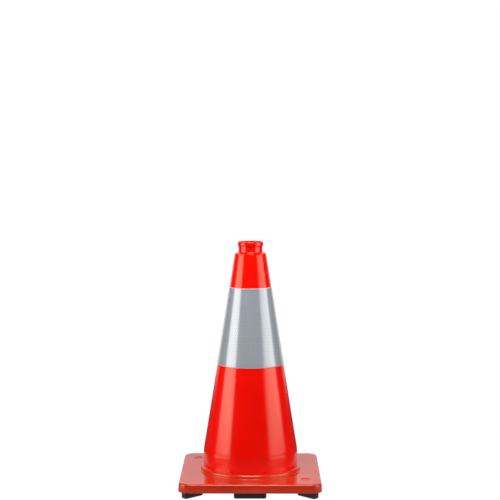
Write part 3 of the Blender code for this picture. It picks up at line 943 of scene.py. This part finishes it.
# painted light and shade on the floor, seen only in glossy reflections
APRON_HALF = 0.24            # painted bright square round the base
APRON_FADE = 0.02
APRON_MIRRORED = 0.5
FRONT_REACH = (0.20, 0.36)   # half axes of a painted dim oval before and behind the cone
FRONT_FADE = (0.8, 1.2)      # where it fades, in squares of its half axes
FRONT_MIRRORED = 0.13
FAR_MIRRORED = 0.03
SIDE_RISE = (0.29, 0.37)     # beyond this distance a painted glow of the side lights shows in the floor
SIDE_MIRRORED = 2.2
# brightness of that painted glow by azimuth, from -180 to 180 degrees as 0 to 1, clockwise from the
# front
SIDE_STOPS = ((0.240, 0.0), (0.275, 0.9), (0.350, 1.0), (0.380, 0.0),
              (0.610, 0.0), (0.650, 0.8), (0.715, 0.8), (0.750, 0.0))
# brightness of an upright soft box, from its foot to its top as 0 to 1
FOOT_STOPS = ((0.0, 0.0), (0.03, 0.0), (0.10, 0.60), (0.18, 1.0), (1.0, 1.0))
# brightness across the upright soft boxes, seen from the cone: the left one from its back
# edge to its front edge as 0 to 1, the right one from its front edge to its back edge
LEFT_STOPS = ((0.0, 0.0), (0.11, 0.75), (0.28, 0.95), (0.65, 1.0), (0.90, 0.85), (1.0, 0.0))
RIGHT_STOPS = ((0.0, 0.0), (0.12, 0.40), (0.3, 0.8), (0.82, 0.95), (0.94, 0.6), (1.0, 0.0))
EVEN_STOPS = ((0.0, 1.0), (1.0, 1.0))
SOFTBOX_DISTANCE = 2.2
SOFTBOX_HEIGHT = 1.0
AIM = Vector((0, 0, 0.25))   # of the panels overhead
SPOT_AIM = Vector((0, 0, 0.33))
SPOT_POWER = 184.0
SPOT_RADIUS = 0.25
SPOT_CONE = math.radians(14)
WORLD_BACK = (0.60, 0.88)    # where the bright back of the world begins and is full
WORLD_LEVELS = (0.03, 0.78)  # brightness before and behind the object


def build_camera():
    data = bpy.data.cameras.new("camera")
    data.lens = CAMERA_LENS
    data.sensor_width = 36.0
    camera = bpy.data.objects.new("camera", data)
    bpy.context.scene.collection.objects.link(camera)
    camera.location = CAMERA_PLACE
    camera.rotation_euler = (math.pi / 2 - CAMERA_PITCH, 0, CAMERA_YAW)
    bpy.context.scene.camera = camera


def add_ramp(tree, stops):
    """A ramp of brightness through the stops, eased between them."""
    ramp = tree.nodes.new("ShaderNodeValToRGB")
    ramp.color_ramp.interpolation = "EASE"
    while len(ramp.color_ramp.elements) < len(stops):
        ramp.color_ramp.elements.new(0.5)
    for element, (position, level) in zip(ramp.color_ramp.elements, stops):
        element.position = position
        element.color = (level, level, level, 1)
    return ramp


def ray_mix(tree, for_camera, for_glossy, otherwise):
    """A strength that depends on the kind of ray that looks at the surface."""
    path = tree.nodes.new("ShaderNodeLightPath")
    value = otherwise
    for output, strength in (("Is Glossy Ray", for_glossy), ("Is Camera Ray", for_camera)):
        mix = tree.nodes.new("ShaderNodeMix")
        tree.links.new(path.outputs[output], mix.inputs["Factor"])
        for socket, source in ((mix.inputs["A"], value), (mix.inputs["B"], strength)):
            if isinstance(source, float):
                socket.default_value = source
            else:
                tree.links.new(source, socket)
        value = mix.outputs["Result"]
    return value


def chain_math(tree, operation, *sources):
    """One arithmetic node; sources are numbers or other nodes' outputs."""
    node = tree.nodes.new("ShaderNodeMath")
    node.operation = operation
    for socket, source in zip(node.inputs, sources):
        if isinstance(source, (int, float)):
            socket.default_value = source
        else:
            tree.links.new(source, socket)
    return node.outputs["Value"]


def step_between(tree, value, low, high, from_value, to_value):
    node = tree.nodes.new("ShaderNodeMapRange")
    node.interpolation_type = "SMOOTHSTEP"
    numbers = {"From Min": low, "From Max": high, "To Min": from_value, "To Max": to_value}
    for name, number in numbers.items():
        node.inputs[name].default_value = number
    tree.links.new(value, node.inputs["Value"])
    return node.outputs["Result"]


def floor_painted_reflection(tree):
    """Painted light and shade on the floor for glossy rays: bright round the base, dim before the cone,
    with a painted glow of the side lights far out.
    """
    split = tree.nodes.new("ShaderNodeSeparateXYZ")
    tree.links.new(tree.nodes.new("ShaderNodeNewGeometry").outputs["Position"], split.inputs["Vector"])
    x, y = split.outputs["X"], split.outputs["Y"]
    wide, deep = chain_math(tree, "ABSOLUTE", x), chain_math(tree, "ABSOLUTE", y)
    square = chain_math(tree, "MAXIMUM", wide, deep)
    apron = step_between(tree, square, APRON_HALF - APRON_FADE, APRON_HALF + APRON_FADE,
                         APRON_MIRRORED, FAR_MIRRORED)
    across = chain_math(tree, "POWER", chain_math(tree, "DIVIDE", wide, FRONT_REACH[0]), 2.0)
    along = chain_math(tree, "POWER", chain_math(tree, "DIVIDE", deep, FRONT_REACH[1]), 2.0)
    oval = step_between(tree, chain_math(tree, "ADD", across, along), *FRONT_FADE,
                        FRONT_MIRRORED, 0.0)
    distance = chain_math(tree, "SQRT", chain_math(tree, "ADD", chain_math(tree, "MULTIPLY", x, x),
                                                   chain_math(tree, "MULTIPLY", y, y)))
    turn = chain_math(tree, "ARCTAN2", x, chain_math(tree, "MULTIPLY", y, -1.0))
    ramp = add_ramp(tree, SIDE_STOPS)
    tree.links.new(chain_math(tree, "MULTIPLY_ADD", turn, 0.5 / math.pi, 0.5), ramp.inputs["Fac"])
    side = chain_math(tree, "MULTIPLY", ramp.outputs["Color"],
                      step_between(tree, distance, *SIDE_RISE, 0.0, SIDE_MIRRORED))
    return chain_math(tree, "ADD", chain_math(tree, "MAXIMUM", apron, oval), side)


def build_floor():
    """A pale sheet that glows evenly white to the camera and softly for diffuse light, with painted
    light and shade in glossy reflections.
    """
    mesh = bpy.data.meshes.new("floor")
    corners = [(-FLOOR_HALF, -FLOOR_HALF), (FLOOR_HALF, -FLOOR_HALF), (FLOOR_HALF, FLOOR_HALF),
               (-FLOOR_HALF, FLOOR_HALF)]
    mesh.from_pydata([(x, y, -FLOOR_DROP) for x, y in corners], [], [(0, 1, 2, 3)])
    floor = mesh_object("floor", mesh)
    material = bpy.data.materials.new("floor")
    material.use_nodes = True
    tree = material.node_tree
    shader = tree.nodes["Principled BSDF"]
    shader.inputs["Base Color"].default_value = (0.02, 0.02, 0.02, 1)
    shader.inputs["Roughness"].default_value = 1.0
    shader.inputs["Specular IOR Level"].default_value = 0.0
    shader.inputs["Emission Color"].default_value = (1, 1, 1, 1)
    strength = ray_mix(tree, FLOOR_SHOWN, floor_painted_reflection(tree), FLOOR_GLOW)
    tree.links.new(strength, shader.inputs["Emission Strength"])
    mesh.materials.append(material)


def aim_light(name, data, azimuth, distance, height, aim):
    """Puts a light at an azimuth from the front and turns it to the aim point."""
    light = bpy.data.objects.new(name, data)
    bpy.context.scene.collection.objects.link(light)
    angle = math.radians(azimuth)
    place = Vector((distance * math.sin(angle), -distance * math.cos(angle), height))
    light.location = place
    light.rotation_euler = (aim - place).to_track_quat("-Z", "Y").to_euler()
    light.visible_camera = False
    return light


def add_softbox(name, azimuth, distance, height, size, radiance, stops, aim=None):
    """A soft panel that follows the stops across; without an aim it is upright with a dim foot."""
    data = bpy.data.lights.new(name, "AREA")
    data.shape = "RECTANGLE"
    data.size, data.size_y = size
    data.energy = radiance * math.pi * size[0] * size[1]
    data.use_nodes = True
    tree = data.node_tree
    emission = tree.nodes["Emission"]
    geometry = tree.nodes.new("ShaderNodeNewGeometry")
    split = tree.nodes.new("ShaderNodeSeparateXYZ")
    ramp = add_ramp(tree, stops)
    tree.links.new(geometry.outputs["Parametric"], split.inputs["Vector"])
    tree.links.new(split.outputs["X"], ramp.inputs["Fac"])
    strength = ramp.outputs["Color"]
    if aim is None:
        rise = add_ramp(tree, FOOT_STOPS)
        tree.links.new(split.outputs["Y"], rise.inputs["Fac"])
        strength = chain_math(tree, "MULTIPLY", strength, rise.outputs["Color"])
    tree.links.new(strength, emission.inputs["Strength"])
    return aim_light(name, data, azimuth, distance, height, aim or Vector((0, 0, height)))


def build_world():
    """White to the camera and behind the object; dim in front, as in a studio."""
    world = bpy.data.worlds.new("studio")
    bpy.context.scene.world = world
    world.use_nodes = True
    tree = world.node_tree
    background = tree.nodes["Background"]
    place = tree.nodes.new("ShaderNodeTexCoord")
    split = tree.nodes.new("ShaderNodeSeparateXYZ")
    tree.links.new(place.outputs["Generated"], split.inputs["Vector"])
    behind = step_between(tree, split.outputs["Y"], *WORLD_BACK, *WORLD_LEVELS)
    path = tree.nodes.new("ShaderNodeLightPath")
    shown = chain_math(tree, "MAXIMUM", behind, path.outputs["Is Camera Ray"])
    tree.links.new(shown, background.inputs["Strength"])
    background.inputs["Color"].default_value = (1, 1, 1, 1)


def build_studio():
    build_camera()
    build_floor()
    build_world()
    upright = (SOFTBOX_DISTANCE, SOFTBOX_HEIGHT)
    add_softbox("left_softbox", -72.5, *upright, (1.91, 2.1), 4.9, LEFT_STOPS)
    add_softbox("right_softbox", 70.5, *upright, (2.24, 2.1), 4.2, RIGHT_STOPS)
    add_softbox("top_softbox", 0.0, 0.55, 2.0, (1.0, 1.1), 5.0, EVEN_STOPS, AIM)
    glint = add_softbox("top_glint", 0.0, 0.55, 1.95, (1.0, 1.2), 4.5, EVEN_STOPS, AIM)
    glint.visible_diffuse = False
    data = bpy.data.lights.new("front_spot", "SPOT")
    data.energy = SPOT_POWER
    data.spot_size = SPOT_CONE
    data.spot_blend = 1.0
    data.shadow_soft_size = SPOT_RADIUS
    spot = aim_light("front_spot", data, 0.0, 2.6, 2.2, SPOT_AIM)
    spot.visible_glossy = False
    bpy.context.scene.view_settings.view_transform = "Standard"


# ------------------------------------------------------------------------ the whole object
def build_object():
    orange = moulded_pvc("orange_pvc", (0.87, 0.0025, 0.0006, 1), (0.94, 0.0050, 0.0012, 1),
                         0.13, 0.19)
    base_orange = moulded_pvc("base_pvc", (0.60, 0.0270, 0.0095, 1), (0.70, 0.0340, 0.0125, 1),
                              0.10, 0.16)
    vinyl, film, weld = white_vinyl(), prism_film(), weld_line()
    build_shell(orange)
    build_cover(base_orange)
    build_slab(crumb_rubber())
    build_feet(foot_rubber())
    build_backing(vinyl)
    build_film(film, weld)
    build_overlap(film, weld)


build_object()
build_studio()
